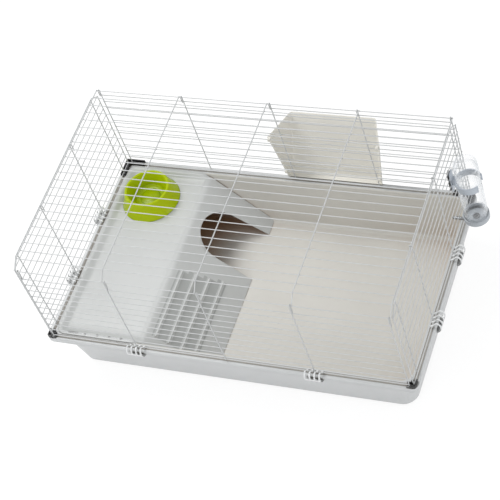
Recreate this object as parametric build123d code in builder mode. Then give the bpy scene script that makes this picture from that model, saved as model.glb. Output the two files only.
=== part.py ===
from build123d import *
import math
import os

# Rabbit cage: a moulded tray with a rim, five welded wire panels standing on it, a moulded
# house with a shelf and ladder inside, six pivoting clips, four corner couplings, a food
# bowl, a hay rack and a water bottle. Millimetres, +X right, +Y back, +Z up. The origin is
# on the table under the middle of the tray.

# Tray: outer size over the rim, and its section.
tray_length = 950.0
tray_depth = 572.0
rim_height = 147.0
rim_lip = 13.0
rim_wall = 2.4
rim_corner = 17.0
rim_out = 10.5
rim_in = 12.0
tray_wall = 3.0
floor_inset = 31.0
mouth_corner = 28.0
floor_corner = 38.0
bottom_round = 5.0
foot_height = 4.0
foot_size = 78.0
foot_margin = 2.0
pad_radius = 40.0

# Wire: grid wires and the thicker ribs, overlapping where they are welded.
grid_radius = 1.1
rib_radius = 1.4
weld_depth = 0.5
hinge_gap = 0.3
wire_above_rim = 4.0
cage_height = 280.0
bevel_depth = 26.0
bevel_drop = 21.0
top_wire_count = 22
side_wire_count = 11
front_wire_count = 10
back_wire_count = 11
front_first_gap = 28.0
back_first_gap = 15.5
side_margin = 3.5
rib_pitch = 232.5
hook_offset = 5.0
hook_lean = 2.6
bend_radius = 6.0
side_rib_rows = (7, 15)
frame_set = 0.6

# Clips that pivot on the bottom wires and reach round the rim.
clip_width = 40.0
finger_width = 4.0
finger_pitch = 12.0
clip_thickness = 2.2
clip_gap = 0.6
clip_bore_gap = 0.1
knuckle_radius = 3.6
clip_crest_out = 13.0
clip_crest_up = 14.0
clip_low_angle = 73.0
skirt_top_angle = 12.0

# Corner couplings: L-shaped channels on the rim that hold the ends of the bottom wires.
coupling_arm = 52.0
coupling_front_arm = 22.0
coupling_wall = 2.3
coupling_base = 2.2
coupling_height = 9.0
coupling_channel = 8.0

# House: a shelf at the rim's height, a slope down to the floor, an arch and a ladder.
house_gap = 2.2
house_wall = 2.8
shelf_sink = 6.0
flange_step = 8.2
flange_wall = 2.6
shelf_length = 240.0
house_length = 390.0
fold_radius = 16.0
arch_y = 122.5
arch_radius = 67.5
arch_crown = 25.0
arch_foot_width = 157.0
ladder_steps = 4
ladder_start = 24.0
ladder_pitch = 36.0
ladder_front = -228.0
ladder_back = -27.0
ladder_back_step = 10.0
step_width = 5.0
step_rise = 4.5
recess_depth = 0.8
recess_border = 10.0

# Food bowl: wide at the foot and narrower at the mouth.
bowl_x = -361.0
bowl_y = 171.0
bowl_foot_radius = 76.8
bowl_wall = 2.4
bowl_floor_radius = 34.0
bowl_floor_height = 7.0
bowl_floor_round = 14.0
bowl_peak_radius = 55.9
bowl_peak_height = 48.6
bowl_rim_round = 2.8
rest_gap = 0.3

# Hay rack: a wedge that hangs outside the back panel.
rack_x = 110.0
rack_half_top = 146.0
rack_half_bottom = 125.0
rack_front_half = 112.0
rack_top_row = 6
rack_low_row = 1
rack_bottom_depth = 22.0
rack_depth = 88.0
rack_wall = 2.4
rack_clear = 1.1
rack_corner = 9.0
rack_hook_width = 7.0
rack_hook_drop = 6.0
rack_lift_gap = 0.35

# Water bottle, its cap and spout, and the bracket on the right panel.
bottle_from_back = 100.5
bottle_radius = 29.0
bottle_wall = 1.4
bottle_stand_off = 42.5
bottle_lift = 53.5
bottle_length = 193.5
bottle_round = 6.0
bottle_button_radius = 9.0
bottle_button_height = 1.0
cap_wall = 2.0
cap_gap = 0.4
cap_floor = 3.0
cap_overlap = 8.5
seal_height = 3.0
seal_width = 5.0
seal_gap = 0.1
nozzle_radius = 8.5
nozzle_height = 1.8
spout_radius = 4.0
spout_bore = 3.0
push_fit = 0.05
spout_bend = 10.0
spout_row = 1
spout_reach = 17.0
spout_lip = 0.8
spout_lip_bore = 2.4
ball_radius = 2.9
ball_gap = 0.05
bracket_gap = 0.3
bracket_wall = 3.0
bracket_plate_width = 20.0
bracket_height = 64.0
band_height = 20.0
band_mouth = 70.0
bracket_web = 14.0
stud_radius = 4.0
stud_row = 7
lock_width = 16.0
lock_height = 62.0
lock_wall = 3.0

# Lines of the wire panels, worked out from the tray.
wire_x = tray_length / 2 - rim_out
wire_y = tray_depth / 2 - rim_out
wire_z = rim_height + wire_above_rim
weld = grid_radius + rib_radius - weld_depth
hook_radius = grid_radius + hinge_gap + rib_radius
leg_y = wire_y + weld
frame_x = wire_x - weld
top_z = wire_z + cage_height
leg_foot = rim_height + coupling_base + hinge_gap

# The hooks of the front and back panels turn on wires of the top panel, and those of the side
# panels on its two end ribs.
hinge_y = leg_y - hook_radius
side_hook_radius = 2 * rib_radius + hinge_gap
end_rib_x = frame_x - side_hook_radius
back_hinge_z = top_z - weld
front_hinge_z = top_z - bevel_drop
bevel_length = math.hypot(bevel_depth, bevel_drop)
bevel_out = (-bevel_drop / bevel_length, bevel_depth / bevel_length)
bevel_end = (-hinge_y + weld * bevel_out[0], front_hinge_z + weld * bevel_out[1])
bevel_start_y = bevel_end[0] + bevel_depth * (top_z - bevel_end[1]) / bevel_drop
top_pitch = (hinge_y - bevel_start_y) / top_wire_count
rib_places = (-end_rib_x, -rib_pitch, 0.0, rib_pitch, end_rib_x)
hook_places = [x - hook_offset if x > 0 else x + hook_offset for x in rib_places]
panel_half = end_rib_x - hook_offset + rib_radius

front_top_row = front_hinge_z - front_first_gap
front_pitch = (front_top_row - wire_z) / front_wire_count
back_top_row = back_hinge_z - back_first_gap
back_pitch = (back_top_row - wire_z) / back_wire_count
side_half = wire_y - side_margin
side_pitch = (front_hinge_z - wire_z) / side_wire_count
side_rib_places = [hinge_y - (row + 0.5) * top_pitch for row in side_rib_rows]

# Hollow of the tray.
mouth_x = wire_x - rim_in
mouth_y = wire_y - rim_in
floor_x = wire_x - floor_inset
floor_y = wire_y - floor_inset
floor_z = foot_height + tray_wall


# A rounded rectangle given by half sizes, on a level.
def outline(half_x, half_y, corner, level):
    with BuildSketch(Plane.XY.offset(level)) as shape:
        RectangleRounded(2 * half_x, 2 * half_y, corner)
    return shape.sketch


# Tray
with BuildPart() as tray:
    loft(
        [
            outline(floor_x + tray_wall, floor_y + tray_wall, floor_corner, foot_height),
            outline(mouth_x + tray_wall, mouth_y + tray_wall, mouth_corner, rim_height),
        ],
        ruled=True,
    )
    fillet(tray.faces().sort_by(Axis.Z)[0].edges(), bottom_round)
    with BuildSketch(Plane.XY.offset(rim_height - rim_wall)):
        RectangleRounded(tray_length, tray_depth, rim_corner)
    extrude(amount=rim_wall)
    with BuildSketch(Plane.XY.offset(rim_height - rim_lip)):
        RectangleRounded(tray_length, tray_depth, rim_corner)
        RectangleRounded(
            tray_length - 2 * rim_wall,
            tray_depth - 2 * rim_wall,
            rim_corner - rim_wall,
            mode=Mode.SUBTRACT,
        )
    extrude(amount=rim_lip)
    fillet(tray.faces().sort_by(Axis.Z)[-1].outer_wire().edges(), rim_wall / 2)
    with BuildSketch(Plane.XY):
        foot_half_x = floor_x + tray_wall - bottom_round - foot_margin
        foot_half_y = floor_y + tray_wall - bottom_round - foot_margin
        RectangleRounded(2 * foot_half_x, 2 * foot_half_y, floor_corner - bottom_round)
        Rectangle(2 * (foot_half_x - foot_size), tray_depth, mode=Mode.SUBTRACT)
        Rectangle(tray_length, 2 * (foot_half_y - foot_size), mode=Mode.SUBTRACT)
        Circle(pad_radius)
    extrude(amount=foot_height)
    loft(
        [
            outline(floor_x, floor_y, floor_corner - tray_wall, floor_z),
            outline(mouth_x, mouth_y, mouth_corner - tray_wall, rim_height),
        ],
        ruled=True,
        mode=Mode.SUBTRACT,
    )


# A rib that ends in a hook over a hinge wire at the origin. It hangs down on the +X side, and
# the hook's short leg leans in until it meets the first grid wire.
def hooked_rib(radius, leg_length, return_length, lean):
    turn = math.radians(lean)
    turn_end = (-radius * math.cos(turn), -radius * math.sin(turn))
    tip = (turn_end[0] + return_length * math.sin(turn), turn_end[1] - return_length * math.cos(turn))
    with BuildPart() as rib:
        with BuildLine(Plane.XZ) as path:
            Line((radius, -leg_length), (radius, 0))
            CenterArc((0, 0), radius, 0, 180 + lean)
            Line(turn_end, tip)
        with BuildSketch(Plane(origin=(radius, 0, -leg_length), z_dir=(0, 0, 1))):
            Circle(rib_radius)
        sweep(path=path.line)
    return rib.part


front_rib = hooked_rib(hook_radius, front_hinge_z - leg_foot, front_first_gap + grid_radius, hook_lean)
back_rib = hooked_rib(hook_radius, back_hinge_z - leg_foot, back_first_gap + grid_radius, hook_lean)
side_rib = hooked_rib(side_hook_radius, top_z - leg_foot, bevel_drop, 0.0)

# Top panel: ribs with a bevelled front end, on a grid of cross wires.
with BuildPart() as top_panel:
    with BuildLine(Plane.YZ) as top_path:
        FilletPolyline(
            (hinge_y + grid_radius, top_z), (bevel_start_y, top_z), bevel_end, radius=bend_radius
        )
    with BuildSketch(
        Plane(origin=(0, hinge_y + grid_radius, top_z), x_dir=(1, 0, 0), z_dir=(0, -1, 0))
    ):
        with Locations(*[(x, 0) for x in rib_places]):
            Circle(rib_radius)
    sweep(path=top_path.line)
    with BuildSketch(Plane.YZ.offset(-end_rib_x - rib_radius)):
        with Locations(*[(hinge_y - k * top_pitch, back_hinge_z) for k in range(top_wire_count + 1)]):
            Circle(grid_radius)
        with Locations((-hinge_y, front_hinge_z)):
            Circle(grid_radius)
    extrude(amount=2 * (end_rib_x + rib_radius))

# Front panel: hooked ribs outside, grid wires inside, and a thicker bottom wire.
with BuildPart() as front_panel:
    with Locations(*[Location((x, -hinge_y, front_hinge_z), (0, 0, -90)) for x in hook_places]):
        add(front_rib)
    with BuildSketch(Plane.YZ.offset(-panel_half)):
        with Locations(*[(-wire_y, wire_z + (k + 1) * front_pitch) for k in range(front_wire_count)]):
            Circle(grid_radius)
        with Locations((-wire_y, wire_z)):
            Circle(rib_radius)
    extrude(amount=2 * panel_half)

# Back panel: the same build, hooked over the top panel's back wire.
with BuildPart() as back_panel:
    with Locations(*[Location((x, hinge_y, back_hinge_z), (0, 0, 90)) for x in hook_places]):
        add(back_rib)
    with BuildSketch(Plane.YZ.offset(-panel_half)):
        with Locations(*[(wire_y, wire_z + (k + 1) * back_pitch) for k in range(back_wire_count)]):
            Circle(grid_radius)
        with Locations((wire_y, wire_z)):
            Circle(rib_radius)
    extrude(amount=2 * panel_half)

# Right panel: a bent frame wire with bevelled shoulders, two uprights under the shoulders, two
# hooked ribs and a grid of wires outside them. The left panel is its mirror image.
upright_y = side_half - bevel_depth - bend_radius

with BuildPart() as right_panel:
    with BuildLine(Plane.YZ.offset(frame_x + frame_set)) as frame_path:
        FilletPolyline(
            (-side_half, leg_foot),
            (-side_half, front_hinge_z),
            (-side_half + bevel_depth, top_z),
            (side_half - bevel_depth, top_z),
            (side_half, front_hinge_z),
            (side_half, leg_foot),
            radius=bend_radius,
        )
    with BuildSketch(Plane(origin=(frame_x + frame_set, -side_half, leg_foot), z_dir=(0, 0, 1))):
        Circle(rib_radius)
    sweep(path=frame_path.line)
    with BuildSketch(Plane.XY.offset(leg_foot)):
        with Locations((frame_x, -upright_y), (frame_x, upright_y)):
            Circle(rib_radius)
    extrude(amount=top_z - leg_foot)
    with Locations(*[(end_rib_x, y, top_z) for y in side_rib_places]):
        add(side_rib)
    with BuildSketch(Plane.XZ.offset(-side_half - rib_radius)):
        with Locations(*[(wire_x, wire_z + (k + 1) * side_pitch) for k in range(side_wire_count)]):
            Circle(grid_radius)
        with Locations((wire_x, wire_z)):
            Circle(rib_radius)
    extrude(amount=2 * (side_half + rib_radius))

with BuildPart() as left_panel:
    add(mirror(right_panel.part, about=Plane.YZ, mode=Mode.PRIVATE))

# Clip, drawn round a bottom wire at the origin with +X out of the cage and +Z up: four curved
# fingers with a knuckle each, joined by a skirt that ends under the rim's lip.
lip_reach = math.hypot(rim_out, wire_above_rim + rim_lip)
clip_inner = lip_reach + clip_gap
clip_middle = clip_inner + clip_thickness / 2
finger_starts = [(k - 1.5) * finger_pitch - finger_width / 2 for k in range(4)]

with BuildPart() as clip:
    for start in finger_starts:
        with BuildSketch(Plane.XZ.offset(start)):
            with BuildLine():
                CenterArc((0, 0), clip_middle, -clip_low_angle, clip_low_angle)
            trace(line_width=clip_thickness)
            with BuildLine():
                ThreePointArc((clip_middle, 0), (clip_crest_out, clip_crest_up), (0, knuckle_radius - 1))
            trace(line_width=clip_thickness)
            Circle(knuckle_radius)
            Circle(rib_radius + clip_bore_gap, mode=Mode.SUBTRACT)
            with Locations(Location((-knuckle_radius / 2, -knuckle_radius / 2), 45)):
                Rectangle(2 * knuckle_radius, rib_radius, mode=Mode.SUBTRACT)
        extrude(amount=finger_width)
    with BuildSketch(Plane.XZ.offset(-clip_width / 2)):
        with BuildLine():
            CenterArc((0, 0), clip_middle, -clip_low_angle, clip_low_angle - skirt_top_angle)
        trace(line_width=clip_thickness)
    extrude(amount=clip_width)

clip_hook_x = rib_pitch - hook_offset
clip_places = {
    "clip_front_left": ((-clip_hook_x, -wire_y, wire_z), -90),
    "clip_front_right": ((clip_hook_x, -wire_y, wire_z), -90),
    "clip_left_front": ((-wire_x, side_rib_places[1], wire_z), 180),
    "clip_left_back": ((-wire_x, side_rib_places[0], wire_z), 180),
    "clip_right_front": ((wire_x, side_rib_places[1], wire_z), 0),
    "clip_right_back": ((wire_x, side_rib_places[0], wire_z), 0),
}


# Corner coupling for the right back corner. The short one at the front has no outer wall on its
# front arm, so that the front panel's bottom wire can swing out.
def coupling(arm, open_front):
    centre_x = (wire_x + frame_x) / 2
    centre_y = (wire_y + leg_y) / 2
    half = coupling_channel / 2
    outer_x = centre_x + half + coupling_wall
    outer_y = centre_y + half + coupling_wall
    with BuildPart() as piece:
        with BuildSketch(Plane.XY.offset(rim_height)):
            with Locations((outer_x, outer_y)):
                Rectangle(arm, 2 * (half + coupling_wall), align=(Align.MAX, Align.MAX))
                Rectangle(2 * (half + coupling_wall), arm, align=(Align.MAX, Align.MAX))
        extrude(amount=coupling_height)
        with BuildSketch(Plane.XY.offset(rim_height + coupling_base)):
            with Locations((centre_x + half, centre_y + half)):
                Rectangle(arm, 2 * half, align=(Align.MAX, Align.MAX))
                Rectangle(2 * half, arm, align=(Align.MAX, Align.MAX))
            if open_front:
                with Locations((centre_x - half, centre_y)):
                    Rectangle(arm, 2 * half, align=(Align.MAX, Align.MIN))
        extrude(amount=coupling_height, mode=Mode.SUBTRACT)
    return piece.part


# House: one moulded sheet with a turned-up border round the shelf and a flange on the rim.
fold_x = -wire_x + shelf_length
ramp_foot_x = -wire_x + house_length
shelf_z = rim_height - shelf_sink
ramp_run = ramp_foot_x - fold_x
ramp_fall = shelf_z - floor_z
ramp_length = math.hypot(ramp_run, ramp_fall)
ramp_along = (ramp_run / ramp_length, 0, -ramp_fall / ramp_length)
ramp_up = (ramp_fall / ramp_length, 0, ramp_run / ramp_length)
ramp_plane = Plane(origin=(fold_x, 0, shelf_z), x_dir=ramp_along, z_dir=ramp_up)
pan_x = mouth_x - house_gap
pan_y = mouth_y - house_gap
flange_x = wire_x - flange_step
flange_y = wire_y - flange_step
pan_corner = mouth_corner - tray_wall - house_gap
middle_z = shelf_z - house_wall / 2
over_run = 1.2

with BuildPart() as house:
    with BuildSketch(Plane.XZ):
        with BuildLine():
            FilletPolyline(
                (-tray_length / 2, middle_z),
                (fold_x, middle_z),
                (fold_x + over_run * ramp_run, middle_z - over_run * ramp_fall),
                radius=fold_radius,
            )
        trace(line_width=house_wall)
    extrude(amount=tray_depth / 2, both=True)
    loft(
        [
            outline(floor_x - house_gap, floor_y - house_gap, floor_corner - tray_wall, floor_z),
            outline(mouth_x - house_gap, mouth_y - house_gap, pan_corner, rim_height),
        ],
        ruled=True,
        mode=Mode.INTERSECT,
    )
    with BuildSketch(Plane.XY.offset(shelf_z - house_wall)):
        RectangleRounded(2 * pan_x, 2 * pan_y, pan_corner)
        RectangleRounded(
            2 * (pan_x - house_wall),
            2 * (pan_y - house_wall),
            pan_corner - house_wall,
            mode=Mode.SUBTRACT,
        )
        with Locations((fold_x, 0)):
            Rectangle(tray_length, tray_depth, align=(Align.MIN, Align.CENTER), mode=Mode.SUBTRACT)
    extrude(amount=shelf_sink + house_wall)
    with BuildSketch(Plane.XY.offset(rim_height)):
        RectangleRounded(2 * flange_x, 2 * flange_y, pan_corner)
        RectangleRounded(
            2 * (pan_x - house_wall),
            2 * (pan_y - house_wall),
            pan_corner - house_wall,
            mode=Mode.SUBTRACT,
        )
        with Locations((fold_x, 0)):
            Rectangle(tray_length, tray_depth, align=(Align.MIN, Align.CENTER), mode=Mode.SUBTRACT)
    extrude(amount=flange_wall)
    with BuildSketch(Plane(origin=(fold_x, arch_y, shelf_z), x_dir=ramp_along, z_dir=ramp_up)):
        with BuildLine():
            arch_top = ThreePointArc(
                (arch_crown + arch_radius, -arch_radius),
                (arch_crown, 0),
                (arch_crown + arch_radius, arch_radius),
            )
            Polyline(
                arch_top @ 1,
                (ramp_length + arch_radius, arch_foot_width / 2),
                (ramp_length + arch_radius, -arch_foot_width / 2),
                arch_top @ 0,
            )
        make_face()
    extrude(amount=arch_radius, both=True, mode=Mode.SUBTRACT)
    with BuildSketch(ramp_plane):
        recess_start = ladder_start - recess_border
        recess_end = ladder_start + (ladder_steps - 1) * ladder_pitch + recess_border
        with Locations((recess_start, ladder_front - recess_border)):
            Rectangle(
                recess_end - recess_start,
                ladder_back - ladder_front + 2 * recess_border,
                align=(Align.MIN, Align.MIN),
            )
    extrude(amount=-recess_depth, mode=Mode.SUBTRACT)
    with BuildSketch(ramp_plane.offset(-recess_depth)):
        for k in range(ladder_steps):
            with Locations((ladder_start + k * ladder_pitch, ladder_front)):
                Rectangle(
                    step_width,
                    ladder_back + k * ladder_back_step - ladder_front,
                    align=(Align.CENTER, Align.MIN),
                )
    extrude(amount=recess_depth + step_rise)

# Food bowl: one moulded wall, up from the floor of the hollow to a rolled rim and down a conical
# skirt to the foot. The wall's middle line has the rim's corner at the peak.
bowl_z = shelf_z + rest_gap
with BuildPart() as food_bowl:
    with BuildSketch(Plane(origin=(bowl_x, bowl_y, bowl_z), x_dir=(1, 0, 0), z_dir=(0, -1, 0))):
        with BuildLine():
            FilletPolyline(
                (0, bowl_floor_height),
                (bowl_floor_radius, bowl_floor_height),
                (bowl_peak_radius, bowl_peak_height),
                (bowl_foot_radius, -bowl_wall),
                radius=(bowl_floor_round, bowl_rim_round),
            )
        trace(line_width=bowl_wall)
        Rectangle(2 * bowl_foot_radius, 2 * bowl_wall, align=(Align.MIN, Align.MAX), mode=Mode.SUBTRACT)
    revolve(axis=Axis((bowl_x, bowl_y, 0), (0, 0, 1)))

# Hay rack: open at the top and on the cage side, with two pairs of hooks over the grid wires.
back_rows = [wire_z + (k + 1) * back_pitch for k in range(back_wire_count)]
rack_y = leg_y + rib_radius + rack_clear
rack_low = rim_height + coupling_base
hook_wall = rack_wall
hook_lift = grid_radius + rack_lift_gap
rack_top = back_rows[rack_top_row - 1] + hook_lift + hook_wall
rack_height = rack_top - rack_low
side_lean = (rack_half_top - rack_half_bottom) / rack_height
side_taper = (rack_half_top - rack_front_half) / rack_depth
with BuildPart() as hay_rack:
    with BuildSketch(Plane.YZ.offset(rack_x - rack_half_top)):
        with BuildLine():
            Polyline(
                (rack_y, rack_low),
                (rack_y + rack_bottom_depth, rack_low),
                (rack_y + rack_depth, rack_top),
                (rack_y, rack_top),
                close=True,
            )
        make_face()
    extrude(amount=2 * rack_half_top)
    for side in (1, -1):
        corner = (rack_x + side * rack_half_top, rack_y, rack_top)
        normal = (side, side_taper, -side_lean)
        split(bisect_by=Plane(origin=corner, z_dir=normal), keep=Keep.BOTTOM)
    wedge_edges = hay_rack.faces().sort_by(Axis.Y)[-1].edges().filter_by(Axis.X, reverse=True)
    fillet(wedge_edges, rack_corner)
    offset(
        amount=-rack_wall,
        openings=[hay_rack.faces().sort_by(Axis.Z)[-1], hay_rack.faces().sort_by(Axis.Y)[0]],
    )
    for row in (rack_top_row, rack_low_row):
        row_z = back_rows[row - 1]
        edge = rack_half_top - side_lean * (rack_top - row_z) - rack_wall - rack_hook_width
        for side in (1, -1):
            near = rack_x + side * edge
            with BuildSketch(Plane.YZ.offset(min(near, near + side * rack_hook_width))):
                with Locations((rack_y + rack_wall, row_z + hook_lift)):
                    Rectangle(
                        rack_y + 2 * rack_wall - wire_y + hook_lift + hook_wall,
                        hook_wall,
                        align=(Align.MAX, Align.MIN),
                    )
                with Locations((wire_y - hook_lift, row_z + hook_lift + hook_wall)):
                    Rectangle(hook_wall, rack_hook_drop + hook_wall, align=(Align.MAX, Align.MAX))
            extrude(amount=rack_hook_width)

# Water bottle: a clear body standing upside down in its cap, a sealing ring between them, and a
# bent steel spout with a ball in its tip that reaches between two grid wires.
bottle_x = wire_x + bottle_stand_off
bottle_y = wire_y - bottle_from_back
bottle_low = wire_z + bottle_lift
bottle_high = bottle_low + bottle_length
bottle_axis = Axis((bottle_x, bottle_y, 0), (0, 0, 1))
bottle_plane = Plane(origin=(bottle_x, bottle_y, 0), x_dir=(1, 0, 0), z_dir=(0, -1, 0))
inner_radius = bottle_radius - bottle_wall
with BuildPart() as bottle_body:
    with BuildSketch(bottle_plane):
        with BuildLine():
            Polyline(
                (inner_radius, bottle_low),
                (bottle_radius, bottle_low),
                (bottle_radius, bottle_high),
                (0, bottle_high),
                (0, bottle_high - bottle_wall),
                (inner_radius, bottle_high - bottle_wall),
                close=True,
            )
        make_face()
    revolve(axis=bottle_axis)
    fillet(bottle_body.edges().group_by(Axis.Z)[-1], bottle_round)
    with BuildSketch(Plane(origin=(bottle_x, bottle_y, bottle_high))):
        Circle(bottle_button_radius)
    extrude(amount=bottle_button_height)

cap_inner = bottle_radius + cap_gap
cap_top = bottle_low + cap_overlap
seal_low = bottle_low - seal_gap - seal_height
cap_low = seal_low - cap_floor
with BuildPart() as bottle_cap:
    with BuildSketch(Plane(origin=(bottle_x, bottle_y, cap_low))):
        Circle(cap_inner + cap_wall)
    extrude(amount=cap_top - cap_low)
    with BuildSketch(Plane(origin=(bottle_x, bottle_y, seal_low))):
        Circle(cap_inner)
    extrude(amount=cap_top - seal_low, mode=Mode.SUBTRACT)
    fillet(bottle_cap.edges().group_by(Axis.Z)[0], cap_wall)
    with BuildSketch(Plane(origin=(bottle_x, bottle_y, cap_low))):
        Circle(nozzle_radius)
    extrude(amount=-nozzle_height)
    with BuildSketch(Plane(origin=(bottle_x, bottle_y, cap_low - nozzle_height))):
        Circle(spout_radius + push_fit)
    extrude(amount=nozzle_height + cap_floor, mode=Mode.SUBTRACT)

with BuildPart() as cap_seal:
    with BuildSketch(Plane(origin=(bottle_x, bottle_y, seal_low))):
        Circle(cap_inner - cap_gap)
        Circle(cap_inner - cap_gap - seal_width, mode=Mode.SUBTRACT)
    extrude(amount=seal_height)

spout_z = wire_z + (spout_row + 0.5) * side_pitch
spout_end = wire_x - spout_reach
spout_throat = spout_end + spout_lip
with BuildPart() as spout:
    with BuildLine() as spout_path:
        FilletPolyline(
            (bottle_x, bottle_y, seal_low),
            (bottle_x, bottle_y, spout_z),
            (spout_throat, bottle_y, spout_z),
            radius=spout_bend,
        )
    with BuildSketch(Plane(origin=(bottle_x, bottle_y, seal_low), z_dir=(0, 0, -1))):
        Circle(spout_radius)
        Circle(spout_bore, mode=Mode.SUBTRACT)
    sweep(path=spout_path.line)
    with BuildSketch(Plane.YZ.offset(spout_end)):
        with Locations((bottle_y, spout_z)):
            Circle(spout_radius)
            Circle(spout_lip_bore, mode=Mode.SUBTRACT)
    extrude(amount=spout_lip)

ball_x = spout_throat + math.sqrt(ball_radius**2 - spout_lip_bore**2) + ball_gap
with BuildPart() as spout_ball:
    with Locations((ball_x, bottle_y, spout_z)):
        Sphere(ball_radius)

# Bracket: a plate outside the grid with an open band round the bottle, and a stud through the
# grid into a locking plate inside it.
plate_x = wire_x + grid_radius + bracket_gap
band_inner = bottle_radius + bracket_gap
stud_z = wire_z + (stud_row + 0.5) * side_pitch
lock_x = wire_x - grid_radius - bracket_gap
with BuildPart() as bottle_bracket:
    with BuildSketch(Plane.YZ.offset(plate_x)):
        with Locations((bottle_y, stud_z)):
            RectangleRounded(bracket_plate_width, bracket_height, bracket_wall)
    extrude(amount=bracket_wall)
    with BuildSketch(Plane.XY.offset(stud_z - band_height / 2)):
        with Locations((bottle_x, bottle_y)):
            Circle(band_inner + bracket_wall)
        with Locations((plate_x, bottle_y)):
            Rectangle(bottle_stand_off, bracket_web, align=(Align.MIN, Align.CENTER))
        with Locations((bottle_x, bottle_y)):
            Circle(band_inner, mode=Mode.SUBTRACT)
            with BuildLine():
                reach = 2 * band_inner
                half_mouth = math.radians(band_mouth / 2)
                Polyline(
                    (0, 0),
                    (reach * math.cos(half_mouth), reach * math.sin(half_mouth)),
                    (reach * math.cos(half_mouth), -reach * math.sin(half_mouth)),
                    close=True,
                )
            make_face(mode=Mode.SUBTRACT)
    extrude(amount=band_height)
    with BuildSketch(Plane.YZ.offset(lock_x - lock_wall)):
        with Locations((bottle_y, stud_z)):
            Circle(stud_radius)
    extrude(amount=plate_x - lock_x + lock_wall)

with BuildPart() as lock_plate:
    with BuildSketch(Plane.YZ.offset(lock_x - lock_wall)):
        with Locations((bottle_y, stud_z)):
            RectangleRounded(lock_width, lock_height, lock_wall)
            Circle(stud_radius + push_fit, mode=Mode.SUBTRACT)
    extrude(amount=lock_wall)


# The clips stand on the bottom wires, and the couplings on the rim's corners.
clips = {
    name: clip.part.moved(Location(position, (0, 0, turn)))
    for name, (position, turn) in clip_places.items()
}
back_coupling = coupling(coupling_arm, False)
front_coupling = mirror(coupling(coupling_front_arm, True), about=Plane.XZ)

tray.part.label = "tray"
top_panel.part.label = "top_panel"
front_panel.part.label = "front_panel"
back_panel.part.label = "back_panel"
right_panel.part.label = "right_panel"
left_panel.part.label = "left_panel"
house.part.label = "house"
food_bowl.part.label = "food_bowl"
hay_rack.part.label = "hay_rack"
bottle_body.part.label = "bottle_body"
bottle_cap.part.label = "bottle_cap"
cap_seal.part.label = "cap_seal"
spout.part.label = "spout_tube"
spout_ball.part.label = "spout_ball"
bottle_bracket.part.label = "bottle_bracket"
lock_plate.part.label = "bracket_lock_plate"
back_coupling.label = "coupling_back_right"
front_coupling.label = "coupling_front_right"

os.makedirs("parts", exist_ok=True)
export_step(tray.part, "parts/tray.step")
export_step(top_panel.part, "parts/top_panel.step")
export_step(front_panel.part, "parts/front_panel.step")
export_step(back_panel.part, "parts/back_panel.step")
export_step(right_panel.part, "parts/right_panel.step")
export_step(left_panel.part, "parts/left_panel.step")
export_step(house.part, "parts/house.step")
export_step(food_bowl.part, "parts/food_bowl.step")
export_step(hay_rack.part, "parts/hay_rack.step")
export_step(bottle_body.part, "parts/bottle_body.step")
export_step(bottle_cap.part, "parts/bottle_cap.step")
export_step(cap_seal.part, "parts/cap_seal.step")
export_step(spout.part, "parts/spout_tube.step")
export_step(spout_ball.part, "parts/spout_ball.step")
export_step(bottle_bracket.part, "parts/bottle_bracket.step")
export_step(lock_plate.part, "parts/bracket_lock_plate.step")
for name, piece in clips.items():
    piece.label = name
    export_step(piece, f"parts/{name}.step")
for place, piece in (("back", back_coupling), ("front", front_coupling)):
    export_step(piece, f"parts/coupling_{place}_right.step")
    left_piece = mirror(piece, about=Plane.YZ)
    left_piece.label = f"coupling_{place}_left"
    export_step(left_piece, f"parts/coupling_{place}_left.step")
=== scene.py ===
import math

import bmesh
import bpy
from mathutils import Matrix, Vector


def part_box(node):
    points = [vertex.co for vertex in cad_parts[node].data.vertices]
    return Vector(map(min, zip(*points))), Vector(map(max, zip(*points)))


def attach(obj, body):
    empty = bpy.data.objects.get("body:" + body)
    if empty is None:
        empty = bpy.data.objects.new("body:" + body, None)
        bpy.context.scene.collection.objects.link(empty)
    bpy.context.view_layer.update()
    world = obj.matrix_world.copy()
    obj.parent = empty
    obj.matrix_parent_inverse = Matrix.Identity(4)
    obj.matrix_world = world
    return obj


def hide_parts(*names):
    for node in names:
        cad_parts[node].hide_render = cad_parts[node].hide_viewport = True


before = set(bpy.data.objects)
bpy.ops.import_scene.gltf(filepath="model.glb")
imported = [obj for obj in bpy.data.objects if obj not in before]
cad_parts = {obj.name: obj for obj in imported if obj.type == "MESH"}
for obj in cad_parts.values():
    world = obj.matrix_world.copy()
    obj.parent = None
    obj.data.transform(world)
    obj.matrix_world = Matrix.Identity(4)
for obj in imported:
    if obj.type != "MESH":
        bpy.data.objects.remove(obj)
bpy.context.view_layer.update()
scene = bpy.context.scene
scene.view_settings.view_transform = "Standard"

# Camera: a long lens from the right front, high up and a little rolled, as the cage was
# photographed. The view was fitted to the corners of the tray and of the wire top.
view_turn = math.radians(-35.67)
view_drop = math.radians(49.48)
view_roll = math.radians(-22.13)
view_centre = Vector((0.0333, -0.0617, 0.2979))
view_distance = 3.934
view_lens = 121.3
level_share = math.cos(view_drop)
forward = Vector((math.sin(view_turn) * level_share, math.cos(view_turn) * level_share, -math.sin(view_drop)))
level_right = Vector((math.cos(view_turn), -math.sin(view_turn), 0))
level_up = level_right.cross(forward)
camera_right = math.cos(view_roll) * level_right + math.sin(view_roll) * level_up
camera_up = math.cos(view_roll) * level_up - math.sin(view_roll) * level_right
camera = bpy.data.objects.new("camera", bpy.data.cameras.new("camera"))
scene.collection.objects.link(camera)
camera.matrix_world = (
    Matrix.Translation(view_centre - forward * view_distance)
    @ Matrix((camera_right, camera_up, -forward)).transposed().to_4x4()
)
camera.data.lens = view_lens
scene.camera = camera

# Studio: a pale floor, a lamp high up on the left, a low one on the right and a weak one in
# front. The camera sees white round the cage, and the floor keeps its shadow.
floor_half = 6
lamp_aim = Vector((0, 0, 0.1))


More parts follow.
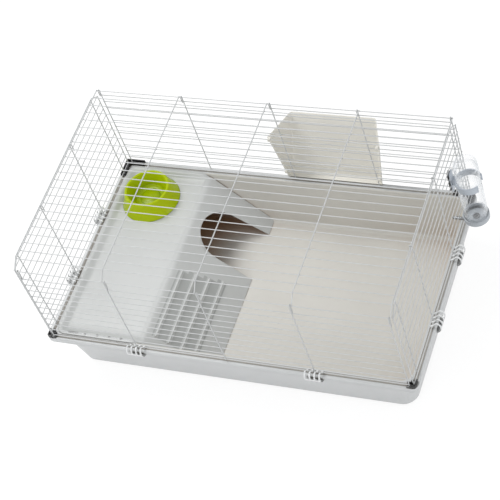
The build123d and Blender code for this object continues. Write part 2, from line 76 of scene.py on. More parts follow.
def add_node(nodes, kind, values=()):
    made = nodes.new("ShaderNode" + kind)
    for socket, value in dict(values).items():
        made.inputs[socket].default_value = value
    return made


# What the camera, gloss and clear plastic see is one shader, and what lights the cage another.
def show_or_light(nodes, links, lighting, shown, out):
    path = add_node(nodes, "LightPath")
    share = path.outputs["Is Camera Ray"]
    for ray in ("Is Glossy Ray", "Is Transmission Ray"):
        either = add_node(nodes, "Math")
        either.operation = "MAXIMUM"
        links.new(share, either.inputs[0])
        links.new(path.outputs[ray], either.inputs[1])
        share = either.outputs[0]
    mix = add_node(nodes, "MixShader")
    links.new(share, mix.inputs["Fac"])
    links.new(lighting.outputs[0], mix.inputs[1])
    links.new(shown.outputs[0], mix.inputs[2])
    links.new(mix.outputs[0], out.inputs["Surface"])


world = bpy.data.worlds.new("studio")
scene.world = world
world.use_nodes = True
sky_nodes = world.node_tree.nodes
sky_nodes.clear()
sky_out = add_node(sky_nodes, "OutputWorld")
sky_light = add_node(sky_nodes, "Background", {"Color": (0.97, 0.98, 1, 1), "Strength": 0.62})
sky_seen = add_node(sky_nodes, "Background", {"Color": (1, 1, 1, 1)})
show_or_light(sky_nodes, world.node_tree.links, sky_light, sky_seen, sky_out)


def lamp(name, place, width, watts):
    light = bpy.data.lights.new(name, "AREA")
    light.shape = "SQUARE"
    light.size = width
    light.energy = watts
    holder = bpy.data.objects.new(name, light)
    scene.collection.objects.link(holder)
    holder.location = place
    holder.rotation_euler = (lamp_aim - Vector(place)).to_track_quat("-Z", "Y").to_euler()


lamp("key_lamp", (-1.7, 0.7, 2.9), 1.2, 61)
lamp("side_lamp", (3.2, -0.3, 0.9), 1.4, 25)
lamp("front_lamp", (-0.8, -3.0, 1.6), 1.8, 27)

floor_corners = [(x * floor_half, y * floor_half, 0) for x, y in ((-1, -1), (1, -1), (1, 1), (-1, 1))]
floor_mesh = bpy.data.meshes.new("studio_floor")
floor_mesh.from_pydata(floor_corners, [], [(0, 1, 2, 3)])
studio_floor = bpy.data.objects.new("studio_floor", floor_mesh)
scene.collection.objects.link(studio_floor)
floor_paint = bpy.data.materials.new("studio_floor")
floor_paint.use_nodes = True
floor_nodes = floor_paint.node_tree.nodes
floor_links = floor_paint.node_tree.links
floor_nodes.clear()
floor_out = add_node(floor_nodes, "OutputMaterial")
floor_plain = add_node(floor_nodes, "BsdfDiffuse", {"Color": (0.8, 0.8, 0.8, 1)})
floor_glow = add_node(floor_nodes, "Emission", {"Strength": 1.12})
floor_seen = add_node(floor_nodes, "MixShader", {"Fac": 0.22})
floor_links.new(floor_glow.outputs[0], floor_seen.inputs[1])
floor_links.new(floor_plain.outputs[0], floor_seen.inputs[2])
show_or_light(floor_nodes, floor_links, floor_plain, floor_seen, floor_out)
floor_mesh.materials.append(floor_paint)

# Tray: one deep injection-moulded shell of satin light grey plastic. Its walls lean out to a
# flat rim with a groove for the bottom wires and a turned-down lip, and it stands on four
# corner feet and a pad under the middle.
tray_x, tray_y, rim_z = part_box("tray")[1]
rim_reach = 0.0105
wire_rise = 0.004
wire_x = tray_x - rim_reach
wire_y = tray_y - rim_reach
wire_z = rim_z + wire_rise
wall_thick = 0.003
mouth_inset = 0.012
mouth_corner = 0.025
mouth_round = 0.003
floor_inset = 0.031
floor_corner = 0.035
floor_round = 0.014
floor_top = 0.007
base_z = 0.004
bottom_corner = 0.030
bottom_round = 0.011
round_share = 0.6
wall_lean = math.degrees(math.atan2(floor_inset - mouth_inset, rim_z - floor_top))
groove_corner = 0.0185
edge_corner = 0.0065
lip_round = 0.0017
lip_depth = 0.013
foot_line_x = 0.348
foot_line_y = 0.160
foot_slope = 0.0015
foot_corner = 0.02
pad_radius = 0.040
corner_steps = 8
round_steps = 72


def ring(half_x, half_y, corner, z):
    points = []
    for turn, (side_x, side_y) in enumerate(((1, 1), (-1, 1), (-1, -1), (1, -1))):
        for k in range(corner_steps + 1):
            angle = (turn + k / corner_steps) * math.pi / 2
            x = side_x * (half_x - corner) + corner * math.cos(angle)
            y = side_y * (half_y - corner) + corner * math.sin(angle)
            points.append(Vector((x, y, z)))
        line = foot_line_y if turn % 2 else foot_line_x
        for stop in (line + foot_slope, line, -line, -line - foot_slope):
            x, y = ((stop, half_y), (-half_x, stop), (-stop, -half_y), (half_x, -stop))[turn]
            points.append(Vector((x, y, z)))
    return points


def skin(mesh, rings, paint=0):
    rows = [[mesh.verts.new(p) for p in points] for points in rings]
    for near, far in zip(rows, rows[1:]):
        for k in range(len(near)):
            n = (k + 1) % len(near)
            mesh.faces.new((near[k], near[n], far[n], far[k])).material_index = paint
    return rows


def arc(centre_u, centre_v, radius, start, end, steps):
    angles = [math.radians(start + (end - start) * k / steps) for k in range(steps + 1)]
    return [(centre_u + radius * math.cos(a), centre_v + radius * math.sin(a)) for a in angles]


def full_turn(steps):
    return [2 * math.pi * k / steps for k in range(steps)]


# A third value in a profile's point marks it as one that the flutes cut into.
def revolve(mesh, profile, centre, steps=round_steps, flutes=0, flute_depth=0.0):
    rings = []
    for radius, z, *fluted in profile:
        points = []
        for angle in full_turn(steps):
            cut = flute_depth * (0.5 - 0.5 * math.cos(flutes * angle)) ** 2 if fluted else 0
            reach = radius - cut
            points.append(Vector(centre) + Vector((reach * math.cos(angle), reach * math.sin(angle), z)))
        rings.append(points)
    rows = skin(mesh, rings)
    bmesh.ops.remove_doubles(mesh, verts=rows[0] + rows[-1], dist=1e-6)
    return rows


def finish_piece(name, mesh, paints, body, node, sharp=40):
    bmesh.ops.recalc_face_normals(mesh, faces=mesh.faces)
    data = bpy.data.meshes.new(name)
    mesh.to_mesh(data)
    mesh.free()
    data.shade_smooth()
    data.set_sharp_from_angle(angle=math.radians(sharp))
    for paint in paints:
        data.materials.append(paint)
    made = bpy.data.objects.new(name, data)
    scene.collection.objects.link(made)
    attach(made, body)
    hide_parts(node)


def moulded(name, colour, second, rough, grain=0.00012, pitch=900, gloss=0.5):
    paint = bpy.data.materials.new(name)
    paint.use_nodes = True
    nodes = paint.node_tree.nodes
    links = paint.node_tree.links
    shader = nodes["Principled BSDF"]
    shader.inputs["Specular IOR Level"].default_value = gloss
    place = add_node(nodes, "TexCoord")
    textures = []
    for scale, detail in ((9, 5), (60, 6), (pitch, 3)):
        texture = add_node(nodes, "TexNoise", {"Scale": scale, "Detail": detail})
        links.new(place.outputs["Object"], texture.inputs["Vector"])
        textures.append(texture)
    cloud, scuff, fine = textures
    tint = add_node(nodes, "Mix")
    tint.data_type = "RGBA"
    tint.inputs["A"].default_value = (*colour, 1)
    tint.inputs["B"].default_value = (*second, 1)
    sheen = add_node(nodes, "MapRange", {"To Min": rough - 0.07, "To Max": rough + 0.09})
    relief = add_node(nodes, "Bump", {"Strength": 0.5, "Distance": grain})
    links.new(cloud.outputs["Fac"], tint.inputs["Factor"])
    links.new(tint.outputs["Result"], shader.inputs["Base Color"])
    links.new(scuff.outputs["Fac"], sheen.inputs["Value"])
    links.new(sheen.outputs["Result"], shader.inputs["Roughness"])
    links.new(fine.outputs["Fac"], relief.inputs["Height"])
    links.new(relief.outputs["Normal"], shader.inputs["Normal"])
    return paint


# Painted shade: corners that little light reaches, found by ambient occlusion, take a deeper colour.
def paint_shade(paint, shade_colour, reach, low, high):
    nodes = paint.node_tree.nodes
    links = paint.node_tree.links
    shader = nodes["Principled BSDF"]
    plain = shader.inputs["Base Color"].links[0].from_socket
    shade = add_node(nodes, "AmbientOcclusion", {"Distance": reach})
    shade.samples = 8
    share = add_node(nodes, "MapRange", {"From Min": low, "From Max": high})
    mix = add_node(nodes, "Mix")
    mix.data_type = "RGBA"
    mix.inputs["A"].default_value = (*shade_colour, 1)
    links.new(shade.outputs["AO"], share.inputs["Value"])
    links.new(share.outputs["Result"], mix.inputs["Factor"])
    links.new(plain, mix.inputs["B"])
    links.new(mix.outputs["Result"], shader.inputs["Base Color"])


def rim_ring(out, up, corner):
    return ring(wire_x + out, wire_y + out, corner + out, rim_z + up)


def wall_inset(z):
    return floor_inset + (mouth_inset - floor_inset) * (z - floor_top) / (rim_z - floor_top)


def wall_ring(z, outward):
    share = (z - floor_top) / (rim_z - floor_top)
    corner = floor_corner + (mouth_corner - floor_corner) * share + outward
    inset = wall_inset(z)
    return ring(wire_x - inset + outward, wire_y - inset + outward, corner, z)


def stood_on(points, drop):
    made = []
    for p in points:
        in_foot = abs(p.x) > foot_line_x + foot_slope / 2 and abs(p.y) > foot_line_y + foot_slope / 2
        made.append(Vector((p.x, p.y, p.z - drop)) if in_foot else p)
    return made


tray_outside = moulded("tray_outside", (0.55, 0.56, 0.56), (0.60, 0.61, 0.61), 0.38)
tray_inside = moulded("tray_inside", (0.55, 0.535, 0.495), (0.60, 0.585, 0.54), 0.42)
# Painted shade: the rim groove gets a darker, warmer grey than the rest of the shell, for the shade that falls
# in it.
tray_groove_shade = moulded("tray_groove_shade", (0.49, 0.47, 0.43), (0.53, 0.51, 0.47), 0.5)
# Painted shade: ambient occlusion darkens the outside in narrow gaps, turns the inside brown where the house
# shades it, and darkens the rim groove.
paint_shade(tray_outside, (0.17, 0.155, 0.13), 0.010, 0.30, 0.80)
paint_shade(tray_inside, (0.40, 0.21, 0.10), 0.30, 0.10, 0.55)
paint_shade(tray_groove_shade, (0.13, 0.11, 0.085), 0.012, 0.30, 0.95)
tray_paints = (tray_outside, tray_inside, tray_groove_shade)
inside_paint = tray_paints.index(tray_inside)
groove_shade_paint = tray_paints.index(tray_groove_shade)

tray_mesh = bmesh.new()
inside_rings = []
for out, up in arc(0, floor_round, floor_round, -90, -wall_lean, 6):
    reach = floor_round - out
    inset = floor_inset + reach
    corner = floor_corner - reach * round_share
    inside_rings.append(ring(wire_x - inset, wire_y - inset, corner, floor_top + up))
inside_rings.append(wall_ring(rim_z - 2 * mouth_round, 0))
for out, up in arc(mouth_round - mouth_inset, -mouth_round, mouth_round, 180, 90, 3):
    inside_rings.append(rim_ring(out, up, mouth_corner + mouth_inset))
groove_rows = ((-0.0055, 0), (-0.0045, -0.0016), (-0.0012, -0.0018), (0.0018, -0.0018), (0.003, -0.0002))
groove_rings = [rim_ring(out, up, groove_corner) for out, up in groove_rows]
inside_rows = skin(tray_mesh, inside_rings, inside_paint)
skin(tray_mesh, [inside_rings[-1], groove_rings[0]])
skin(tray_mesh, groove_rings, groove_shade_paint)
tray_mesh.faces.new(inside_rows[0]).material_index = inside_paint

lip_rows = [(0.0042, 0), (0.0088, -0.0002)]
lip_rows += arc(rim_reach - lip_round, -lip_round, lip_round, 90, 0, 3)
lip_rows += [(rim_reach, -0.0085), (rim_reach - 0.0006, -0.009), (rim_reach - 0.0006, 0.0006 - lip_depth)]
lip_rows += [(rim_reach - 0.0012, -lip_depth), (rim_reach - 0.0022, 0.0004 - lip_depth)]
lip_rows += [(rim_reach - 0.0024, -0.0034)]
outside_rings = [groove_rings[-1]] + [rim_ring(out, up, edge_corner) for out, up in lip_rows]
for z, outward in ((rim_z - 0.0032, 0.001), (rim_z - 0.006, 0), (0.03, 0)):
    outside_rings.append(wall_ring(z, wall_thick + outward))
for out, up in arc(-bottom_round, base_z + bottom_round, bottom_round, -wall_lean, -90, 6):
    reach = out + wall_thick - wall_inset(max(up, floor_top))
    corner = bottom_corner + (bottom_round + out) * round_share
    outside_rings.append(ring(wire_x + reach, wire_y + reach, corner, up))
for k, share in ((-3, 0.5), (-2, 0.85), (-1, 1)):
    outside_rings[k] = stood_on(outside_rings[k], share * base_z)
for foot_width, drop in ((0.038, base_z), (0.040, 0)):
    reach = floor_inset + foot_width
    outside_rings.append(stood_on(ring(wire_x - reach, wire_y - reach, foot_corner, base_z), drop))
tray_mesh.faces.new(skin(tray_mesh, outside_rings)[-1])
pad_profile = ((pad_radius + 0.0005, base_z), (pad_radius, 0.0005), (pad_radius - 0.0005, 0))
tray_mesh.faces.new(revolve(tray_mesh, pad_profile, (0, 0, 0), 40)[-1])
bmesh.ops.remove_doubles(tray_mesh, verts=tray_mesh.verts, dist=1e-5)
finish_piece("tray_shell", tray_mesh, tray_paints, "base", "tray", 55)

# Wire panels: straight grid wires spot-welded to thicker bent ribs, dipped in off-white
# enamel. Each weld is a small swelling of metal under the enamel. The ribs of the front, back
# and side panels end in hooks round the top panel's wires.
grid_radius = 0.0011
rib_radius = 0.0014
weld = 0.002
wire_sides = 10
wire_bend = 0.006
end_rounding = 0.45
bead_out = 0.001
hook_radius = 0.0028
hook_lean = 2.6
side_hook = 0.0031
cage_height = 0.280
bevel_depth = 0.026
bevel_drop = 0.021
top_gaps = 22
side_gaps = 11
front_gaps = 10
back_gaps = 11
front_first = 0.028
back_first = 0.0155
rib_pitch = 0.2325
hook_offset = 0.005
side_margin = 0.0035
upright_gap = 0.006
coupling_floor = 0.0022
leg_gap = 0.0003
leg_y = wire_y + weld
frame_x = wire_x - weld
side_frame_x = frame_x + 0.0006
top_z = wire_z + cage_height
leg_foot = rim_z + coupling_floor + leg_gap
hinge_y = leg_y - hook_radius
end_rib_x = frame_x - side_hook
back_hinge_z = top_z - weld
front_hinge_z = top_z - bevel_drop
bevel_length = math.hypot(bevel_depth, bevel_drop)
bevel_end_y = -hinge_y - weld * bevel_drop / bevel_length
bevel_end_z = front_hinge_z + weld * bevel_depth / bevel_length
bevel_start_y = bevel_end_y + bevel_depth * (top_z - bevel_end_z) / bevel_drop
top_pitch = (hinge_y - bevel_start_y) / top_gaps
rib_places = (-end_rib_x, -rib_pitch, 0.0, rib_pitch, end_rib_x)
hook_places = [x - hook_offset if x > 0 else x + hook_offset for x in rib_places]
panel_half = end_rib_x - hook_offset + rib_radius
front_pitch = (front_hinge_z - front_first - wire_z) / front_gaps
back_pitch = (back_hinge_z - back_first - wire_z) / back_gaps
side_half = wire_y - side_margin
side_pitch = (front_hinge_z - wire_z) / side_gaps
side_ribs = [hinge_y - (row + 0.5) * top_pitch for row in (7, 15)]
wire_paint = moulded("wire_enamel", (0.49, 0.50, 0.50), (0.55, 0.56, 0.56), 0.3, 0.00004, 1400)


def wire(mesh, points, radius):
    points = [Vector(p) for p in points]
    start = (points[1] - points[0]).normalized()
    end = (points[-1] - points[-2]).normalized()
    rounding = radius * end_rounding
    places = [points[0], points[0] + start * rounding, *points[1:-1], points[-1] - end * rounding, points[-1]]
    across = start.orthogonal().normalized()
    rings = []
    for k, place in enumerate(places):
        before = places[max(k - 1, 0)]
        after = places[min(k + 1, len(places) - 1)]
        along = (after - before).normalized()
        across = (across - along * across.dot(along)).normalized()
        up = along.cross(across)
        reach = radius * (1 - end_rounding) if k in (0, len(places) - 1) else radius
        turns = full_turn(wire_sides)
        rings.append([place + reach * math.cos(t) * across + reach * math.sin(t) * up for t in turns])
    rows = skin(mesh, rings)
    mesh.faces.new(rows[0])
    mesh.faces.new(rows[-1])


def bead(mesh, place, along, length=0.0021, radius=0.0016):
    made = bmesh.ops.create_uvsphere(mesh, u_segments=8, v_segments=6, radius=1)
    stretch = Matrix.Diagonal((radius, radius, length, 1))
    turn = Vector(along).to_track_quat("Z", "Y").to_matrix().to_4x4()
    bmesh.ops.transform(mesh, matrix=Matrix.Translation(place) @ turn @ stretch, verts=made["verts"])


def rounded(points, radius, steps=5):
    points = [Vector(p) for p in points]
    made = [points[0]]
    for before, at, after in zip(points, points[1:], points[2:]):
        back = (before - at).normalized()
        on = (after - at).normalized()
        half = back.angle(on) / 2
        middle = at + (back + on).normalized() * radius / math.sin(half)
        first = at + back * radius / math.tan(half)
        last = at + on * radius / math.tan(half)
        for k in range(steps + 1):
            step = (first - middle).lerp(last - middle, k / steps).normalized()
            made.append(middle + step * radius)
    return made + [points[-1]]


def hooked_leg(radius, drop, back_drop, lean_in):
    turn = math.radians(lean_in)
    path = [(radius, -drop), (radius, -0.001)]
    path += arc(0, 0, radius, 0, 180 + lean_in, 10)
    end_u, end_v = path[-1]
    return path + [(end_u + back_drop * math.sin(turn), end_v - back_drop * math.cos(turn))]


def face_panel(name, side, hinge_z, first, gaps, pitch, node, body):
    mesh = bmesh.new()
    for x in hook_places:
        leg = hooked_leg(hook_radius, hinge_z - leg_foot, first + grid_radius, hook_lean)
        wire(mesh, [(x, side * (hinge_y + u), hinge_z + v) for u, v in leg], rib_radius)
        for k in range(gaps):
            bead(mesh, (x, side * (wire_y + bead_out), wire_z + (k + 1) * pitch), (0, 0, 1))
        bead(mesh, (x, side * (wire_y + bead_out), wire_z), (0, 0, 1), 0.0023, 0.0018)
    for k in range(gaps):
        z = wire_z + (k + 1) * pitch
        wire(mesh, ((-panel_half, side * wire_y, z), (panel_half, side * wire_y, z)), grid_radius)
    wire(mesh, ((-panel_half, side * wire_y, wire_z), (panel_half, side * wire_y, wire_z)), rib_radius)
    finish_piece(name, mesh, (wire_paint,), body, node)


def side_panel(name, side, node):
    mesh = bmesh.new()
    corners = ((-side_half, leg_foot), (-side_half, front_hinge_z), (bevel_depth - side_half, top_z))
    front_half = [(side * side_frame_x, y, z) for y, z in corners]
    back_half = [(x, -y, z) for x, y, z in reversed(front_half)]
    wire(mesh, rounded(front_half + back_half, wire_bend), rib_radius)
    upright_y = side_half - bevel_depth - upright_gap
    for y in (-upright_y, upright_y):
        wire(mesh, ((side * frame_x, y, leg_foot), (side * frame_x, y, top_z)), rib_radius)
    for y in side_ribs:
        leg = hooked_leg(side_hook, top_z - leg_foot, bevel_drop, 0)
        wire(mesh, [(side * (end_rib_x + u), y, top_z + v) for u, v in leg], rib_radius)
    reach = side_half + rib_radius
    for k in range(side_gaps + 1):
        z = wire_z + k * side_pitch
        radius = grid_radius if k else rib_radius
        wire(mesh, ((side * wire_x, -reach, z), (side * wire_x, reach, z)), radius)
        for y in (-side_half, -upright_y, upright_y, side_half, *side_ribs):
            bead(mesh, (side * (wire_x - bead_out), y, z), (0, 0, 1))
    finish_piece(name, mesh, (wire_paint,), "base", node)


top_mesh = bmesh.new()
for x in rib_places:
    run = ((x, hinge_y + grid_radius, top_z), (x, bevel_start_y, top_z), (x, bevel_end_y, bevel_end_z))
    wire(top_mesh, rounded(run, wire_bend), rib_radius)
cross_rows = [(hinge_y - k * top_pitch, back_hinge_z) for k in range(top_gaps + 1)]
cross_rows.append((-hinge_y, front_hinge_z))
for y, z in cross_rows:
    wire(top_mesh, ((-end_rib_x - rib_radius, y, z), (end_rib_x + rib_radius, y, z)), grid_radius)
    for x in rib_places:
        bead(top_mesh, (x, y, z + bead_out), (0, 1, 0))
finish_piece("top_wires", top_mesh, (wire_paint,), "base", "top_panel")
face_panel("front_wires", -1, front_hinge_z, front_first, front_gaps, front_pitch, "front_panel", "front")
face_panel("back_wires", 1, back_hinge_z, back_first, back_gaps, back_pitch, "back_panel", "base")
side_panel("right_wires", 1, "right_panel")
side_panel("left_wires", -1, "left_panel")

# House: one formed sheet of light grey plastic. A shelf with a turned-up border and small air
# notches lies on the tray's rim, and a slope runs down to the floor, with an arch for the rabbit
# and a ladder of four raised bars on darker treads. It is laid in loose.
sheet_thick = 0.0026
edge_round = 0.0008
edge_wide = 0.0009
house_half = 0.2673
house_gap = 0.0022
house_corner = 0.024
house_left = -wire_x + 0.0082
shelf_z = rim_z - 0.006
border_z = rim_z + sheet_thick
border_wide = 0.0165
border_flat = 0.45
fade_start = -0.024
fade_length = 0.022
fade_narrower = 0.0068
fold_x = -wire_x + 0.240
fold_radius = 0.0174
fold_bead = (-0.013, 0.0035, 0.0008)
slope_foot_x = -wire_x + 0.390
slope_turn = math.atan2(shelf_z - floor_top, slope_foot_x - fold_x)
slope_length = math.hypot(shelf_z - floor_top, slope_foot_x - fold_x)
fold_tangent = fold_radius * math.tan(slope_turn / 2)
strip_y = 0.230
ladder_y = 0.009
arch_y = 0.1225
arch_radius = 0.0675
arch_crown = 0.025
arch_foot = 0.0785
arch_columns = 0.045
arch_ease = 0.015
bar_start = 0.024
bar_pitch = 0.036
bar_front = -0.228
bar_ends = (-0.027, -0.017, -0.007, 0.003)
bar_slope = 0.0022
bar_shape = ((0, 0.0045), (0.0011, 0.0043), (0.0021, 0.0034), (0.0027, 0.0004), (0.0036, 0))
bar_runs = [bar_start + k * bar_pitch for k in range(len(bar_ends))]
tread_gap = 0.006
ladder_margin = 0.010
notch_near = 0.0045
notch_far = 0.0095
notch_half = 0.0035
notch_spans = [(-0.423, -0.395)]
notch_spans += [(x - notch_half, x + notch_half) for x in (-0.3766, -0.343, -0.310, -0.278)]
house_paint = moulded("house_grey", (0.48, 0.49, 0.48), (0.53, 0.54, 0.53), 0.36, 0.00012, 500)
tread_paint = moulded("house_tread", (0.35, 0.36, 0.35), (0.40, 0.41, 0.40), 0.5, 0.0003, 420)
# Painted shade: the sheet's underside, seen only in shade, is painted a warm brown.
under_shade_paint = moulded("house_under_shade", (0.40, 0.31, 0.24), (0.45, 0.35, 0.28), 0.6)
# Painted shade: ambient occlusion darkens the sheet in narrow gaps and where it touches other parts.
paint_shade(house_paint, (0.17, 0.16, 0.14), 0.008, 0.25, 0.75)
house_paints = (house_paint, tread_paint, under_shade_paint)


def eased(share):
    share = min(max(share, 0), 1)
    return share * share * (3 - 2 * share)


def spaced(start, step, count):
    return [start + step * k for k in range(count)]


def fold_point(run):
    if run < -fold_tangent:
        return fold_x + run, shelf_z, 0.0
    if run > fold_tangent:
        return fold_x + run * math.cos(slope_turn), shelf_z - run * math.sin(slope_turn), slope_turn
    turn = slope_turn * (run + fold_tangent) / (2 * fold_tangent)
    x = fold_x - fold_tangent + fold_radius * math.sin(turn)
    return x, shelf_z - fold_radius * (1 - math.cos(turn)), turn


def arch_half(run):
    middle = arch_crown + arch_radius
    if run <= arch_crown:
        return arch_columns * min((arch_crown - run) / arch_ease, 1)
    if run < middle:
        return math.sqrt(arch_radius**2 - (middle - run) ** 2)
    share = (run - middle) / (slope_length + 2 * arch_radius - middle)
    return arch_radius + (arch_foot - arch_radius) * share


# Columns of points beside the arch draw together where it is narrow.
def column_y(run, y, half):
    if abs(y) > strip_y:
        share = (abs(y) - strip_y) / (house_half - strip_y)
        return math.copysign(strip_y + share * (half - strip_y), y)
    if run < 0 or y < ladder_y:
        return y
    opening = arch_half(run)
    drawn = (ladder_y, arch_y - arch_columns, arch_y + arch_columns, strip_y)
    moved = (ladder_y, arch_y - opening, arch_y + opening, strip_y)
    k = 0 if y < drawn[1] - 1e-6 else 1 if y < drawn[2] - 1e-6 else 2
    share = (y - drawn[k]) / (drawn[k + 1] - drawn[k])
    return moved[k] + share * (moved[k + 1] - moved[k])


def bar_height(run, y):
    for bar_run, bar_end in zip(bar_runs, bar_ends):
        off = abs(run - bar_run)
        for (near, high), (far, low) in zip(bar_shape, bar_shape[1:]):
            if near <= off <= far:
                height = high + (low - high) * (off - near) / (far - near)
                return height * min(max(min(y - bar_front, bar_end - y) / bar_slope, 0), 1)
    return 0


def on_tread(run, y):
    step = max(0, min(len(bar_runs) - 1, round((run - bar_start) / bar_pitch)))
    in_ladder = bar_runs[0] - ladder_margin < run < bar_runs[-1] + ladder_margin
    return in_ladder and abs(run - bar_runs[step]) > tread_gap and bar_front < y < bar_ends[step]


def sheet_points(run, y):
    x, z, turn = fold_point(run)
    fade = eased((run - fade_start) / fade_length)
    half = house_half - fade_narrower * fade
    if run > 0:
        half = wire_y - wall_inset(z) - house_gap
    from_left = x - house_left
    from_side = house_half - abs(y)
    depth = min(from_left, from_side)
    place_y = column_y(run, y, half)
    if from_left < house_corner and from_side < house_corner:
        a = 1 - from_left / house_corner
        b = 1 - from_side / house_corner
        round_a = a * math.sqrt(1 - b * b / 2)
        round_b = b * math.sqrt(1 - a * a / 2)
        depth = house_corner * (1 - math.hypot(round_a, round_b))
        x = house_left + house_corner * (1 - round_a)
        place_y = math.copysign(house_half - house_corner * (1 - round_b), y)
    if run > arch_crown and abs(abs(y - arch_y) - arch_columns) < 1e-6:
        depth = 0
    rise = (border_z - shelf_z) * (1 - eased(depth / border_wide - border_flat)) * (1 - fade)
    trim = edge_round * max(0, 1 - depth / edge_wide)
    bead_run, bead_wide, bead_high = fold_bead
    bump = bar_height(run, y) if run > 0 else bead_high * math.exp(-(((run - bead_run) / bead_wide) ** 2))
    up = Vector((math.sin(turn), 0, math.cos(turn)))
    upper = Vector((x, place_y, z)) + (rise + bump - trim) * up
    under = Vector((x, place_y, z)) + (rise - sheet_thick + trim) * up
    under.z = max(under.z, floor_top + 0.0001)
    return upper, under


edge_steps = (0, edge_wide, 0.002, notch_near, 0.0075, notch_far, 0.0115, 0.0135, 0.0155, 0.018, 0.021, 0.024)
run_stops = [arch_crown, bar_runs[0] - ladder_margin, bar_runs[-1] + ladder_margin]
for bar_run in bar_runs:
    for off in [near for near, _ in bar_shape] + [tread_gap]:
        run_stops += [bar_run - off, bar_run + off]
run_stops += [x - fold_x for span in notch_spans for x in span]
more_runs = [house_left - fold_x + step for step in edge_steps]
more_runs += spaced(-0.19, 0.013, 14) + spaced(-0.0185, 0.0015, 7) + spaced(-0.008, 0.002, 10)
more_runs += [arch_crown + arch_radius * (1 - math.cos(math.radians(turn))) for turn in range(10, 91, 10)]
more_runs += spaced(0.105, 0.012, 8) + [slope_length - 0.003, slope_length - 0.0018]
run_stops += [run for run in more_runs if min(abs(run - kept) for kept in run_stops) > 0.0005]
run_stops = sorted({round(run, 6) for run in run_stops})
cross_stops = [side * (house_half - step) for side in (1, -1) for step in edge_steps]
cross_stops += [strip_y, -strip_y, bar_front, bar_front + bar_slope]
cross_stops += [end - step for end in bar_ends for step in (0, bar_slope)]
cross_stops += [arch_y - arch_columns - 0.001, arch_y + arch_columns + 0.001]
cross_stops += spaced(arch_y - arch_columns, 0.0075, 13) + spaced(ladder_y, 0.0137, 5)
cross_stops += spaced(-0.215, 0.0125, 15) + [0.180, 0.192, 0.204, 0.217]
cross_stops = sorted({round(y, 6) for y in cross_stops})

house_mesh = bmesh.new()
upper_rows = []
under_rows = []
for run in run_stops:
    pairs = [sheet_points(run, y) for y in cross_stops]
    upper_rows.append([house_mesh.verts.new(upper) for upper, _ in pairs])
    under_rows.append([house_mesh.verts.new(under) for _, under in pairs])
cells = {}
for k, (run, next_run) in enumerate(zip(run_stops, run_stops[1:])):
    for n, (y, next_y) in enumerate(zip(cross_stops, cross_stops[1:])):
        middle_run = (run + next_run) / 2
        middle_y = (y + next_y) / 2
        in_arch = run >= arch_crown and abs(middle_y - arch_y) < arch_columns
        in_border = notch_near < middle_y + house_half < notch_far
        in_notch = in_border and any(start < fold_x + middle_run < end for start, end in notch_spans)
        if not in_arch and not in_notch:
            cells[k, n] = on_tread(middle_run, middle_y)
for (k, n), on_ladder in cells.items():
    corners = ((k, n), (k + 1, n), (k + 1, n + 1), (k, n + 1))
    face = house_mesh.faces.new([upper_rows[a][b] for a, b in corners])
    face.material_index = house_paints.index(tread_paint if on_ladder else house_paint)
    face = house_mesh.faces.new([under_rows[a][b] for a, b in reversed(corners)])
    face.material_index = house_paints.index(under_shade_paint)
    beyond = ((k, n - 1), (k + 1, n), (k, n + 1), (k - 1, n))
    for side in range(4):
        if beyond[side] not in cells:
            a, b = corners[side]
            c, d = corners[(side + 1) % 4]
            house_mesh.faces.new((upper_rows[c][d], upper_rows[a][b], under_rows[a][b], under_rows[c][d]))
bmesh.ops.remove_doubles(house_mesh, verts=house_mesh.verts, dist=5e-6)
finish_piece("house_shell", house_mesh, house_paints, "base", "house", 50)

# Food bowl: lime green glossy plastic, moulded in one wall. A round hollow with a raised disc in
# its floor rolls over a smooth rim into a conical skirt that stands on the shelf.
bowl_low, bowl_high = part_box("food_bowl")
bowl_centre = ((bowl_low[0] + bowl_high[0]) / 2, (bowl_low[1] + bowl_high[1]) / 2, bowl_low[2])
bowl_disc = [(0, 0.0092), (0.024, 0.0092), (0.0245, 0.00895), (0.024854, 0.008877), (0.025, 0.0087)]
bowl_hollow = [(0.0255, 0.0083), (0.028, 0.0082)] + arc(0.0278, 0.0208, 0.0126, -90, -28, 8)
bowl_hollow += [(0.0445, 0.027), (0.0500, 0.0375)]
bowl_rim = arc(0.0558, 0.0419, 0.0040, 152, 22, 10)
bowl_skirt = [(0.0655, 0.0245), (0.0712, 0.0115), (0.0758, 0.0022), (0.0765, 0.0008), (0.0762, 0.0002)]
bowl_inside = [(0.0748, 0), (0.0742, 0.0008), (0.0690, 0.0108), (0.0632, 0.0240), (0.0575, 0.0372)]
bowl_inside += [(0.0548, 0.0392), (0.0520, 0.0365), (0.0465, 0.0262), (0.0420, 0.0155), (0.0360, 0.0072)]
bowl_inside += [(0.0280, 0.0058), (0, 0.0058)]
bowl_paint = moulded("bowl_lime", (0.36, 0.46, 0.001), (0.42, 0.52, 0.003), 0.2, 0.00005, 300, 0.16)
# Painted shade: ambient occlusion darkens the green inside the hollow and round the foot.
paint_shade(bowl_paint, (0.06, 0.16, 0.0), 0.06, 0.25, 0.80)
bowl_mesh = bmesh.new()
revolve(bowl_mesh, bowl_disc + bowl_hollow + bowl_rim + bowl_skirt + bowl_inside, bowl_centre)
finish_piece("food_bowl_shell", bowl_mesh, (bowl_paint,), "bowl", "food_bowl", 50)

